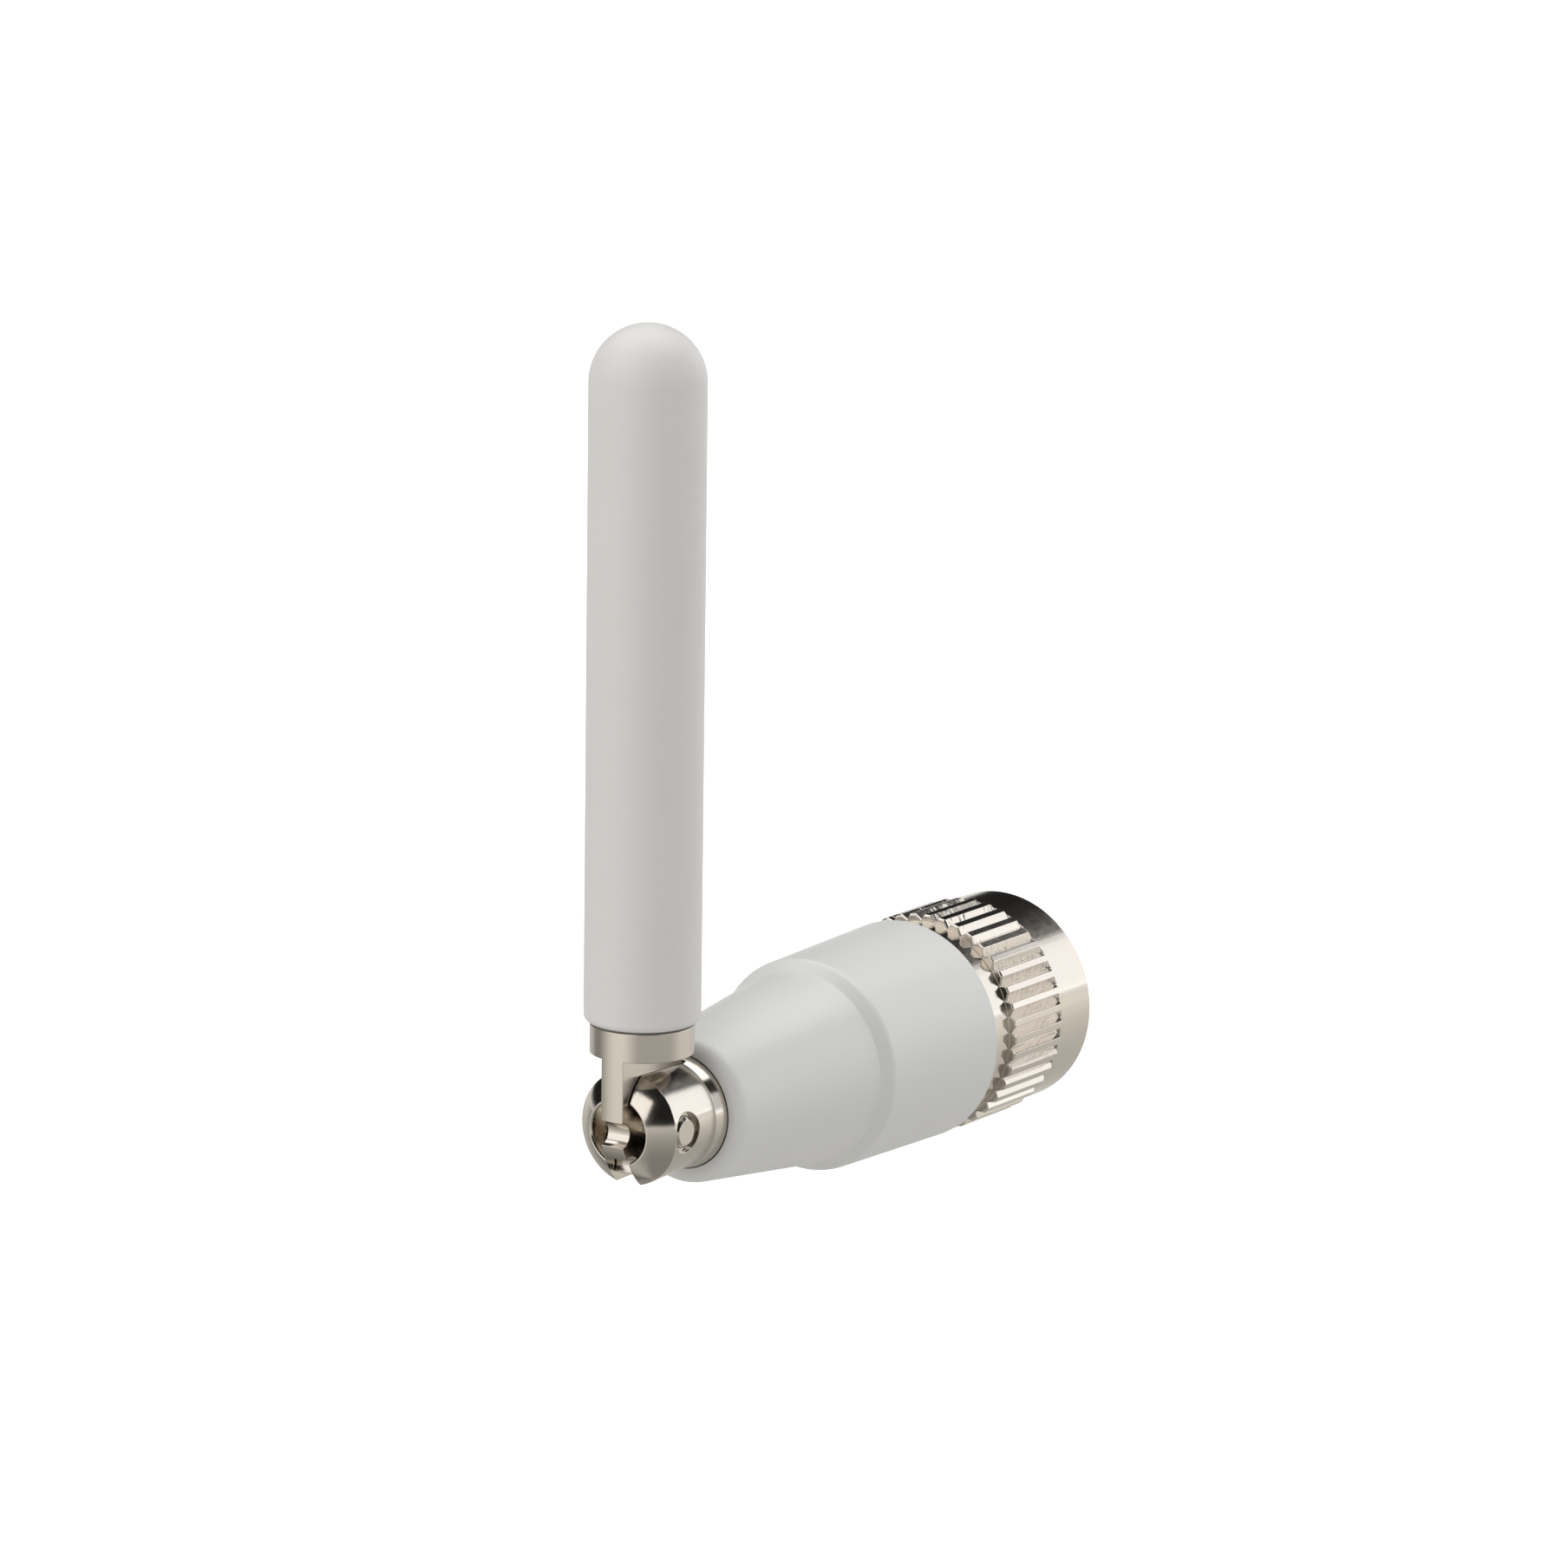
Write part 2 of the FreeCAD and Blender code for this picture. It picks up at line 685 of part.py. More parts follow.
def hinge_pin():
    """Straight pin pressed through both cheeks, its ends chamfered and just under the cheeks' surface."""
    body = piece("hinge_pin")
    at_hinge(body)
    half = S.pin_length / 2
    turned(body, "Y", [
        (ZERO, -half),
        (S.pin_radius - S.pin_chamfer, -half),
        (S.pin_radius, S.pin_chamfer - half),
        (S.pin_radius, half - S.pin_chamfer),
        (S.pin_radius - S.pin_chamfer, half),
        (ZERO, half),
    ])


def detent_plunger():
    """Round plunger whose wedge nose clicks into the tang's notches."""
    body = piece("detent_plunger")
    at_hinge(body)
    radius = S.detent_bore - S.seat_gap * 2
    turned(body, "X", [
        (PLUNGER_TIP, ZERO),
        (PLUNGER_BACK, ZERO),
        (PLUNGER_BACK, radius),
        (PLUNGER_TIP, radius),
    ])

    def flanks(sketch):
        tip = S.plunger_tip / 2
        root = PLUNGER_TIP + S.plunger_nose
        ahead = PLUNGER_TIP - S.plunger_nose
        wide = radius + S.plunger_tip
        for side in (1.0, -1.0):
            outline(sketch, [
                (PLUNGER_TIP, tip * side),
                (root, radius * side),
                (root, wide * side),
                (ahead, wide * side),
                (ahead, tip * side),
            ])

    cut_through(body, "XZ_Plane", "flanks", flanks)


def detent_spring():
    """Compression spring of square wire between the plunger's back and the end of its bore."""
    body = piece("detent_spring")
    at_hinge(body)
    front = PLUNGER_BACK + S.seat_gap
    outer = S.detent_bore - S.run_gap * 2
    sketch = sketch_on(body, "XZ_Plane", "section")
    outline(sketch, [
        (front, outer - S.spring_wire),
        (front + S.spring_wire, outer - S.spring_wire),
        (front + S.spring_wire, outer),
        (front, outer),
    ])
    room = S.detent_bore_end - PLUNGER_BACK - S.spring_wire - S.seat_gap * 2
    winding = body.newObject("PartDesign::AdditiveHelix", "detent_spring_winding")
    winding.Profile = sketch
    winding.ReferenceAxis = (sketch, ["H_Axis"])
    winding.Mode = "height-turns-angle"
    winding.Height = room.value
    winding.setExpression("Height", room.text)
    winding.Turns = S.spring_turns.value
    winding.setExpression("Turns", S.spring_turns.text)
    doc.recompute()


def hinge_arm():
    """Turned collar and spigot whose lower end is milled to a flat tang with an eye and click notches."""
    body = piece("hinge_arm")
    at_hinge(body)
    spigot = S.tube_radius - S.tube_wall - S.seat_gap
    groove_low = S.collar_top + S.spigot_length / 2
    groove_top = groove_low + S.spigot_groove_width
    seat = S.radiator_radius + S.seat_gap
    blank_end = -(S.tang_end_radius + S.detent_notch)
    turned(body, "Z", [
        (ZERO, blank_end),
        (S.collar_radius, blank_end),
        (S.collar_radius, S.collar_top),
        (spigot, S.collar_top),
        (spigot, groove_low),
        (spigot - S.spigot_groove, groove_low),
        (spigot - S.spigot_groove, groove_top),
        (spigot, groove_top),
        (spigot, SPIGOT_TOP),
        (seat, SPIGOT_TOP),
        (seat, RADIATOR_BOTTOM),
        (ZERO, RADIATOR_BOTTOM),
    ])
    below = blank_end - S.detent_notch
    wide = S.collar_radius + S.detent_notch

    def flats(sketch):
        half = S.tang_width / 2
        for side in (1.0, -1.0):
            outline(sketch, [
                (half * side, below),
                (wide * side, below),
                (wide * side, S.collar_bottom),
                (half * side, S.collar_bottom),
            ])

    def round_end(sketch):
        outline(sketch, [
            (-S.tang_end_radius, ZERO),
            (ZERO, -S.tang_end_radius),
            (S.tang_end_radius, ZERO),
            (wide, ZERO),
            (wide, below),
            (-wide, below),
            (-wide, ZERO),
        ], {0: S.tang_end_radius, 1: S.tang_end_radius})

    def eye(sketch):
        disc(sketch, ZERO, ZERO, S.pin_radius + S.pin_gap)

    def notch(sketch):
        disc(sketch, -(S.tang_end_radius), ZERO, S.detent_notch)

    cut_through(body, "YZ_Plane", "flats", flats)
    cut_through(body, "XZ_Plane", "round_end", round_end)
    cut_through(body, "XZ_Plane", "eye", eye)
    first = cut_through(body, "XZ_Plane", "notch", notch)
    notches = body.newObject("PartDesign::PolarPattern", "hinge_arm_notches")
    notches.Originals = [first]
    notches.Axis = (origin_part(body, "Y_Axis"), [""])
    notches.Angle = S.notch_sweep.value
    notches.setExpression("Angle", S.notch_sweep.text)
    notches.Occurrences = int(S.notch_count.value)
    notches.setExpression("Occurrences", S.notch_count.text)
    notches.Reversed = True
    body.Tip = notches
    doc.recompute()


def bond_ring():
    """Bead of adhesive between the collar's shoulder and the tube's lower edge."""
    body = piece("bond_ring")
    at_hinge(body)
    inner = S.tube_radius - S.tube_wall
    turned(body, "Z", [
        (inner, S.collar_top),
        (S.collar_radius, S.collar_top),
        (S.collar_radius, TUBE_BOTTOM),
        (inner, TUBE_BOTTOM),
    ])


def radome():
    """White moulded tube, closed by a dome, over the radiating wire."""
    body = piece("radome")
    at_hinge(body)
    inner = S.tube_radius - S.tube_wall
    base = turned(body, "Z", [
        (inner, TUBE_BOTTOM),
        (S.tube_radius, TUBE_BOTTOM),
        (S.tube_radius, TUBE_TOP - S.tube_radius),
        (ZERO, TUBE_TOP),
        (ZERO, TUBE_TOP - S.dome_thickness),
        (inner, TUBE_TOP - S.dome_thickness),
    ], {2: S.tube_radius})
    rounded(body, base, "Z", [(TUBE_BOTTOM, S.tube_radius)], S.tube_edge_chamfer, "Chamfer")


def radiator():
    """Brass wire that stands in the spigot and radiates."""
    body = piece("radiator")
    at_hinge(body)
    turned(body, "Z", [
        (ZERO, RADIATOR_BOTTOM),
        (S.radiator_radius, RADIATOR_BOTTOM),
        (S.radiator_radius, RADIATOR_TOP),
        (ZERO, RADIATOR_TOP),
    ])


def spacer(name, bottom):
    """Plastic disc that centres the wire in the tube."""
    body = piece(name)
    at_hinge(body)
    inner = S.radiator_radius + S.seat_gap
    outer = S.tube_radius - S.tube_wall - S.seat_gap
    turned(body, "Z", [
        (inner, bottom),
        (outer, bottom),
        (outer, bottom + S.spacer_length),
        (inner, bottom + S.spacer_length),
    ])


def check():
    """Stop unless every object and every piece's shape is sound."""
    for item in doc.Objects:
        if "Invalid" in item.State or "Error" in item.State:
            raise RuntimeError(f"{item.Name} failed: {item.State}")
    for body in PIECES:
        shape = body.Shape
        if shape.isNull() or not shape.isValid() or not shape.Solids:
            raise RuntimeError(f"{body.Label} has no sound shape")


def export():
    os.makedirs("parts", exist_ok=True)
    for body in PIECES:
        body.Shape.exportStep(f"parts/{body.Label}.step")
        box = body.Shape.BoundBox
        print(f"{body.Label}: {len(body.Shape.Solids)} solid, {body.Shape.Volume:.1f} mm3,"
              f" X {box.XMin:.2f} to {box.XMax:.2f}, Z {box.ZMin:.2f} to {box.ZMax:.2f}")


coupling_nut()
retaining_ring()
gasket()
plug_body()
outer_contact()
front_insulator()
centre_contact()
rear_insulator()
feed_rod()
sleeve()
knuckle()
hinge_pin()
detent_plunger()
detent_spring()
hinge_arm()
bond_ring()
radome()
radiator()
spacer("lower_spacer", SPIGOT_TOP + S.lower_spacer_height)
spacer("upper_spacer", RADIATOR_TOP - S.upper_spacer_drop - S.spacer_length)
doc.recompute()
check()
export()
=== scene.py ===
import math

import bmesh
import bpy
import numpy as np
from mathutils import Matrix, Vector


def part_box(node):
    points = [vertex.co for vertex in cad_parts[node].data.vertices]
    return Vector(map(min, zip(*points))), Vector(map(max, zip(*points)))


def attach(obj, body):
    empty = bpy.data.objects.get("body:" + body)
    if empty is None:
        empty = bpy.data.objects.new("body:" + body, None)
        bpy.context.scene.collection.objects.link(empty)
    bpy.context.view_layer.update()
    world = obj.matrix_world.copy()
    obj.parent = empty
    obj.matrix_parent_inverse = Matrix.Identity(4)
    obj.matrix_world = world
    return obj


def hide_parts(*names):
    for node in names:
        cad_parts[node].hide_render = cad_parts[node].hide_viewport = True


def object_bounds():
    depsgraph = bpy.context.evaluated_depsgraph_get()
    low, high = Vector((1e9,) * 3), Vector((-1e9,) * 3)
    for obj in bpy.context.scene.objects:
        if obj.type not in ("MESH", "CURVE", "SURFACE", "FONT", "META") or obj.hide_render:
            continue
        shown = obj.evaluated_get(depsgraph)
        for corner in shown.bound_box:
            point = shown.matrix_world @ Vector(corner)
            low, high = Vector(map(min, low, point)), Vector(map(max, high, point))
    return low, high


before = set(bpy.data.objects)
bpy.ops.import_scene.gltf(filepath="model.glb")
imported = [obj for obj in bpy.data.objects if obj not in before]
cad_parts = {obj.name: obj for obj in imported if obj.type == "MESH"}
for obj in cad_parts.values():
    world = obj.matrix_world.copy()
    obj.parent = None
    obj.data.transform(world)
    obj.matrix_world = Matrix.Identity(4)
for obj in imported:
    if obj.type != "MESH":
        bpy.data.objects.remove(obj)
cad_low, cad_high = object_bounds()

# Camera. The photo's view of the hinge, worked out from the tube's sides, the rims and the teeth.
# The picture is square, and the camera looks down on the hinge from the left of the connector axis.
MM = 0.001
PICTURE_WIDTH = 1808
FOCAL_PIXELS = 9249.0
SENSOR_MM = 36.0
CAMERA_AZIMUTH = math.radians(-55.72)
CAMERA_ELEVATION = math.radians(12.78)
CAMERA_ROLL = math.radians(-0.75)
CAMERA_OFFSET_MM = (8.88, 21.17, 499.4)
pin_low, pin_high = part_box("hinge_pin")
HINGE = (pin_low + pin_high) / 2

view_turn = (
    Matrix.Rotation(CAMERA_AZIMUTH, 3, "Z")
    @ Matrix.Rotation(math.pi / 2 - CAMERA_ELEVATION, 3, "X")
    @ Matrix.Rotation(-CAMERA_ROLL, 3, "Z")
)
camera_place = HINGE + view_turn @ (Vector(CAMERA_OFFSET_MM) * MM)
camera = bpy.data.objects.new("camera", bpy.data.cameras.new("camera"))
camera.data.sensor_width = SENSOR_MM
camera.data.lens = FOCAL_PIXELS / PICTURE_WIDTH * SENSOR_MM
camera.matrix_world = Matrix.Translation(camera_place) @ view_turn.to_4x4()
bpy.context.scene.collection.objects.link(camera)
bpy.context.scene.camera = camera

# Tube. One moulding of light grey ABS with a domed end, slipped over the hinge arm's spigot and glued.
# Its lower rim is rounded where the mould parted, and its skin is spark-eroded to a fine matt grain.
TUBE_RADIUS = 3.66
TUBE_BORE = 2.88
TUBE_RIM_ROUND = 0.42
TUBE_BORE_ROUND = 0.12
DOME_THICKNESS = 2.4
DOME_STEPS = 40
ROUND_STEPS = 6
TURN_STEPS = 192
PAD_SHARE = 0.2
LONGEST_PAD = 0.03
WELD_DISTANCE = 1e-8
ABS_IOR = 1.53
TONE_PATCH_MM = 9
GRAIN_STRENGTH = 0.6


def linear(colour):
    """sRGB hex to linear light: c / 12.92 below 0.04045, else ((c + 0.055) / 1.055) to the power 2.4."""
    c = np.array([int(colour[i:i + 2], 16) for i in (1, 3, 5)]) / 255
    return tuple(np.where(c <= 0.04045, c / 12.92, ((c + 0.055) / 1.055) ** 2.4)) + (1.0,)


def add_node(tree, kind, inputs=None, **settings):
    """Add a node with its settings, and set each input to a value or link it to a socket."""
    node = tree.nodes.new(kind)
    for name, value in settings.items():
        setattr(node, name, value)
    for name, value in (inputs or {}).items():
        if isinstance(value, bpy.types.NodeSocket):
            tree.links.new(value, node.inputs[name])
        else:
            node.inputs[name].default_value = value
    return node


def new_material(name):
    """A material with an empty node tree, that tree, and its object coordinates in metres."""
    material = bpy.data.materials.new(name)
    material.use_nodes = True
    tree = material.node_tree
    tree.nodes.clear()
    place = add_node(tree, "ShaderNodeTexCoord").outputs["Object"]
    return material, tree, place


def finish_material(tree, shader):
    """Link the shader to an output node."""
    add_node(tree, "ShaderNodeOutputMaterial", {"Surface": shader.outputs[0]})


def soft_outline(corners, arc_steps=ROUND_STEPS):
    """Outline through corners (along, across, round), each corner cut back to an arc of that radius.

    The arc's ends lie at round * tan(turn / 2) from the corner, and its points follow the circle
    that touches both sides. Beside each end lies one more point, which keeps the flats flat.
    """
    points = []
    c = np.array([corner[:2] for corner in corners], float)
    for i, (along, across, size) in enumerate(corners):
        here = np.array([along, across], float)
        if size == 0:
            points.append(here[None])
            continue
        back = c[i - 1] - here
        ahead = c[(i + 1) % len(c)] - here
        back, ahead = back / np.linalg.norm(back), ahead / np.linalg.norm(ahead)
        half_corner = math.acos(np.clip(back @ ahead, -1, 1)) / 2
        reach = size / math.tan(half_corner)
        centre = here + (back + ahead) / np.linalg.norm(back + ahead) * size / math.sin(half_corner)
        first, last = here + back * reach - centre, here + ahead * reach - centre
        sweep = math.pi - 2 * half_corner
        t = np.linspace(0, 1, arc_steps + 1)[:, None]
        arc = (np.sin((1 - t) * sweep) * first + np.sin(t * sweep) * last) / math.sin(sweep)
        pad = min(PAD_SHARE * size, LONGEST_PAD)
        points.append((here + back * (reach + pad))[None])
        points.append(centre + arc)
        points.append((here + ahead * (reach + pad))[None])
    return np.concatenate(points)


def turned_surface(outline, steps=TURN_STEPS):
    """Grid of an (along, radius) outline carried round the X axis: (along, radius sin a, radius cos a)."""
    angle = np.linspace(0, 2 * np.pi, steps, endpoint=False)
    along, radius = outline[:, :1], outline[:, 1:]
    return np.stack([
        np.broadcast_to(along, (len(outline), steps)), radius * np.sin(angle), radius * np.cos(angle),
    ], axis=-1)


def about_x(grid):
    """Rows turned about X, moved from millimetres at the connector's origin to metres."""
    return grid * MM


def about_z(grid):
    """Rows turned about X, stood up so that their axis is the tube's, and moved to the hinge."""
    stood = np.stack([grid[..., 2], grid[..., 1], grid[..., 0]], axis=-1) * (1, -1, 1)
    return stood * MM + np.array(HINGE)


def grid_piece(name, grid, body, material, replaces, closed_rows=False):
    """Make a piece of a grid of points that closes round, and from last row to first if asked."""
    rows, columns = grid.shape[:2]
    mesh = bpy.data.meshes.new(name)
    row = np.arange(rows if closed_rows else rows - 1)[:, None]
    column = np.arange(columns)[None, :]
    after_row, after_column = (row + 1) % rows, (column + 1) % columns
    faces = np.stack([
        row * columns + column,
        row * columns + after_column,
        after_row * columns + after_column,
        after_row * columns + column,
    ], axis=-1).reshape(-1, 4)
    mesh.from_pydata(grid.reshape(-1, 3).tolist(), [], faces.tolist())
    shape = bmesh.new()
    shape.from_mesh(mesh)
    bmesh.ops.remove_doubles(shape, verts=shape.verts, dist=WELD_DISTANCE)
    bmesh.ops.recalc_face_normals(shape, faces=shape.faces)
    shape.to_mesh(mesh)
    shape.free()
    mesh.polygons.foreach_set("use_smooth", np.ones(len(mesh.polygons), bool))
    piece = bpy.data.objects.new(name, mesh)
    bpy.context.scene.collection.objects.link(piece)
    mesh.materials.append(material)
    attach(piece, body)
    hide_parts(replaces)
    return piece


def moulded_plastic(name, colour, shade, roughness, grain_mm, depth_mm):
    """Moulded plastic: a spark-eroded grain of that size, and a slow change of tone of a few percent."""
    material, tree, place = new_material(name)
    tone = add_node(tree, "ShaderNodeTexNoise", {
        "Vector": place, "Scale": 1 / (TONE_PATCH_MM * MM), "Detail": 2.0,
    })
    body = add_node(tree, "ShaderNodeMix", {"Factor": tone.outputs["Fac"]}, data_type="RGBA")
    body.inputs["A"].default_value = linear(colour)
    body.inputs["B"].default_value = linear(shade)
    grain = add_node(tree, "ShaderNodeTexNoise", {
        "Vector": place, "Scale": 1 / (grain_mm * MM), "Detail": 3.0,
    })
    bump = add_node(tree, "ShaderNodeBump", {
        "Height": grain.outputs["Fac"], "Distance": depth_mm * MM, "Strength": GRAIN_STRENGTH,
    })
    finish_material(tree, add_node(tree, "ShaderNodeBsdfPrincipled", {
        "Base Color": body.outputs["Result"], "Roughness": roughness, "Normal": bump.outputs["Normal"],
        "IOR": ABS_IOR,
    }))
    return material


tube_low, tube_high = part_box("radome")
tube_bottom = (tube_low.z - HINGE.z) / MM
tube_top = (tube_high.z - HINGE.z) / MM
dome_start = tube_top - TUBE_RADIUS
climb = np.linspace(0, np.pi / 2, DOME_STEPS)
dome = np.stack([dome_start + TUBE_RADIUS * np.sin(climb), TUBE_RADIUS * np.cos(climb)], axis=-1)
rim = soft_outline([
    (dome_start, TUBE_RADIUS, 0),
    (tube_bottom, TUBE_RADIUS, TUBE_RIM_ROUND),
    (tube_bottom, TUBE_BORE, TUBE_BORE_ROUND),
    (tube_top - DOME_THICKNESS, TUBE_BORE, 0),
    (tube_top - DOME_THICKNESS, 0, 0),
])
tube_outline = np.concatenate([dome[::-1], rim[1:]])
tube_plastic = moulded_plastic(
    "matt_grey_abs", "#D4D2D0", "#CFCDCA", roughness=0.48, grain_mm=0.16, depth_mm=0.004
)
tube = grid_piece("tube", about_z(turned_surface(tube_outline)), "arm", tube_plastic, "radome")

# Bond line. A bead of dark adhesive squeezed out between the hinge arm's shoulder and the tube's rim.
# It has set dull, so it shows as a thin dark line.
ADHESIVE_COLOUR = "#5C5850"
ADHESIVE_ROUGHNESS = 0.6


def dress(node, material):
    """Give a carried-over piece its material."""
    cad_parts[node].data.materials.clear()
    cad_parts[node].data.materials.append(material)


adhesive, tree = new_material("set_adhesive")[:2]
finish_material(tree, add_node(tree, "ShaderNodeBsdfPrincipled", {
    "Base Color": linear(ADHESIVE_COLOUR), "Roughness": ADHESIVE_ROUGHNESS,
}))
dress("bond_ring", adhesive)

# Hinge metal. Brass turned and milled, then plated with bright nickel, which leaves fine lathe lines.
# The plate is warm in tone, and tumbling before the plating has rounded every edge a little.
NICKEL_COLOUR = "#D2CBC1"
EDGE_TUMBLE_MM = 0.07
TUMBLE_SAMPLES = 8
LATHE_LINE_MM = 0.12
LATHE_STRENGTH = 0.3
UNEVEN_PATCH_MM = 0.5
SMOOTHEST, ROUGHEST = 0.75, 1.3


def nickel_plate(name, roughness, axis, line_depth_mm, cutter_marks=None):
    """Nickel over turned brass: lathe lines along one axis, and a slow unevenness.

    A wave of scale 1 / (pi * pitch) repeats about once in each pitch. The normals turn over within the
    tumbled radius of each edge. cutter_marks adds a height in metres of its own, from the tree and the
    object coordinates.
    """
    material, tree, place = new_material(name)
    tumbled = add_node(
        tree, "ShaderNodeBevel", {"Radius": EDGE_TUMBLE_MM * MM}, samples=TUMBLE_SAMPLES
    ).outputs["Normal"]
    if cutter_marks:
        tumbled = add_node(tree, "ShaderNodeBump", {
            "Height": cutter_marks(tree, place), "Distance": 1.0, "Normal": tumbled,
        }).outputs["Normal"]
    wave = add_node(tree, "ShaderNodeTexWave", {
        "Vector": place, "Scale": 1 / (math.pi * LATHE_LINE_MM * MM), "Distortion": 3.0, "Detail": 2.0,
    }, wave_type="BANDS", bands_direction=axis)
    uneven = add_node(tree, "ShaderNodeTexNoise", {
        "Vector": place, "Scale": 1 / (UNEVEN_PATCH_MM * MM), "Detail": 3.0,
    })
    height = add_node(tree, "ShaderNodeMath", {
        0: wave.outputs["Fac"], 1: uneven.outputs["Fac"],
    }, operation="ADD")
    bump = add_node(tree, "ShaderNodeBump", {
        "Height": height.outputs[0], "Distance": line_depth_mm * MM, "Strength": LATHE_STRENGTH,
        "Normal": tumbled,
    })
    rough = add_node(tree, "ShaderNodeMapRange", {
        "Value": uneven.outputs["Fac"], "To Min": roughness * SMOOTHEST, "To Max": roughness * ROUGHEST,
    })
    finish_material(tree, add_node(tree, "ShaderNodeBsdfPrincipled", {
        "Base Color": linear(NICKEL_COLOUR), "Metallic": 1.0, "Roughness": rough.outputs["Result"],
        "Normal": bump.outputs["Normal"],
    }))
    return material


arm_nickel = nickel_plate("nickel_plated_arm", roughness=0.19, axis="Z", line_depth_mm=0.0004)
plug_nickel = nickel_plate("nickel_plated_turning", roughness=0.15, axis="X", line_depth_mm=0.001)
dress("hinge_arm", arm_nickel)
for node in ("knuckle", "hinge_pin", "plug_body", "outer_contact", "retaining_ring"):
    dress(node, plug_nickel)

# Coupling nut. Turned from brass bar, its 40 grip grooves milled as a V with a steep and a shallow flank.
# The cutter chattered on the shallow flanks. Inside the mouth runs a 7/16-28 thread with cut-back ends.
NUT_BAND_RADIUS = 6.99
NUT_NECK_RADIUS = 6.72
NUT_EDGE_ROUND = 0.1
NUT_STEPS = 3
MOUTH_LIP = 0.45
MOUTH_ROUND = 0.05
NECK_ROOT_ROUND = 0.03
NECK_EDGE_ROUND = 0.12
TOOTH_TIP_RADIUS = 7.25
TOOTH_COUNT = 40
TOOTH_STEPS = 2
TEETH_BACK = -8.95
TEETH_FRONT = -3.12
TOOTH_SLANT = 0.3
TOOTH_EDGE = 0.045
TOOTH_END_ROUND = 0.12
TOOTH_FRONT_ROUND = 0.04
STEP_SHARE = 0.3
GROOVE_DEPTH = 0.41
GROOVE_STEEP_RUN = 0.22
GROOVE_SHALLOW_RUN = 0.55
GROOVE_OFFSET = 0.31
GROOVE_BOTTOM_ROUND = 0.02
REAR_BORE = 5.31
REAR_BORE_ROUND = 0.08
RING_GROOVE_RADIUS = 5.66
RING_GROOVE_HALF = 0.35
RING_MIDDLE = -9.87
INNER_ROUND = 0.04
RELIEF_RADIUS = 5.76
RELIEF_BACK = -8.95
RELIEF_BACK_ROUND = 0.06
THREAD_MAJOR = 5.556
THREAD_MINOR = 5.08
THREAD_PITCH = 25.4 / 28
THREAD_BACK = -3.45
THREAD_ROWS = 72
THREAD_STEEPNESS = 2.6
THREAD_ROOT_FLAT = 0.24
THREAD_START = 0.02
THREAD_START_FADE = 0.45
THREAD_BACK_FADE = 0.3
SAME_PLACE = 0.001
CHATTER_BLOT_MM = (0.35, 1.2, 1.2)
CHATTER_DEPTH_MM = 0.022
CHATTER_PATCH_MM = 4
BLOT_EDGE, BLOT_FULL = 0.42, 0.62
PATCH_EDGE, PATCH_FULL = 0.42, 0.55
SHALLOW_COSINE = 0.8
COSINE_REACH = 0.09
nut_low, nut_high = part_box("coupling_nut")
nut_back, nut_front = nut_low.x / MM, nut_high.x / MM


def tip_crossing(run):
    """Where a flank that leaves the groove's bottom by run for each depth of rise meets the tip circle.

    The flank is bottom + t * (run, depth), and t solves |bottom + t * (run, depth)| = tip radius.
    """
    bottom = np.array([GROOVE_OFFSET, TOOTH_TIP_RADIUS - GROOVE_DEPTH])
    way = np.array([run, GROOVE_DEPTH])
    a, b, c = way @ way, 2 * bottom @ way, bottom @ bottom - TOOTH_TIP_RADIUS ** 2
    return bottom + way * (-b + math.sqrt(b * b - 4 * a * c)) / (2 * a)


def turned_by(point, angle):
    """A point (across, up) turned clockwise, toward the tooth that comes next."""
    c, s = math.cos(angle), math.sin(angle)
    return point[0] * c + point[1] * s, point[1] * c - point[0] * s


def tooth_section():
    """Angles and radii of the outline round all teeth, with the same points in every tooth."""
    pitch = 2 * math.pi / TOOTH_COUNT
    shallow_end, steep_end = tip_crossing(GROOVE_SHALLOW_RUN), tip_crossing(-GROOVE_STEEP_RUN)
    bottom = (GROOVE_OFFSET, TOOTH_TIP_RADIUS - GROOVE_DEPTH)
    corners = []
    for tooth in range(TOOTH_COUNT):
        turn = tooth * pitch
        corners.append((*turned_by(bottom, turn), GROOVE_BOTTOM_ROUND))
        corners.append((*turned_by(shallow_end, turn), TOOTH_EDGE))
        corners.append((*turned_by(steep_end, turn + pitch), TOOTH_EDGE))
    ring = soft_outline(corners, TOOTH_STEPS)
    return np.arctan2(ring[:, 0], ring[:, 1]), np.hypot(ring[:, 0], ring[:, 1])


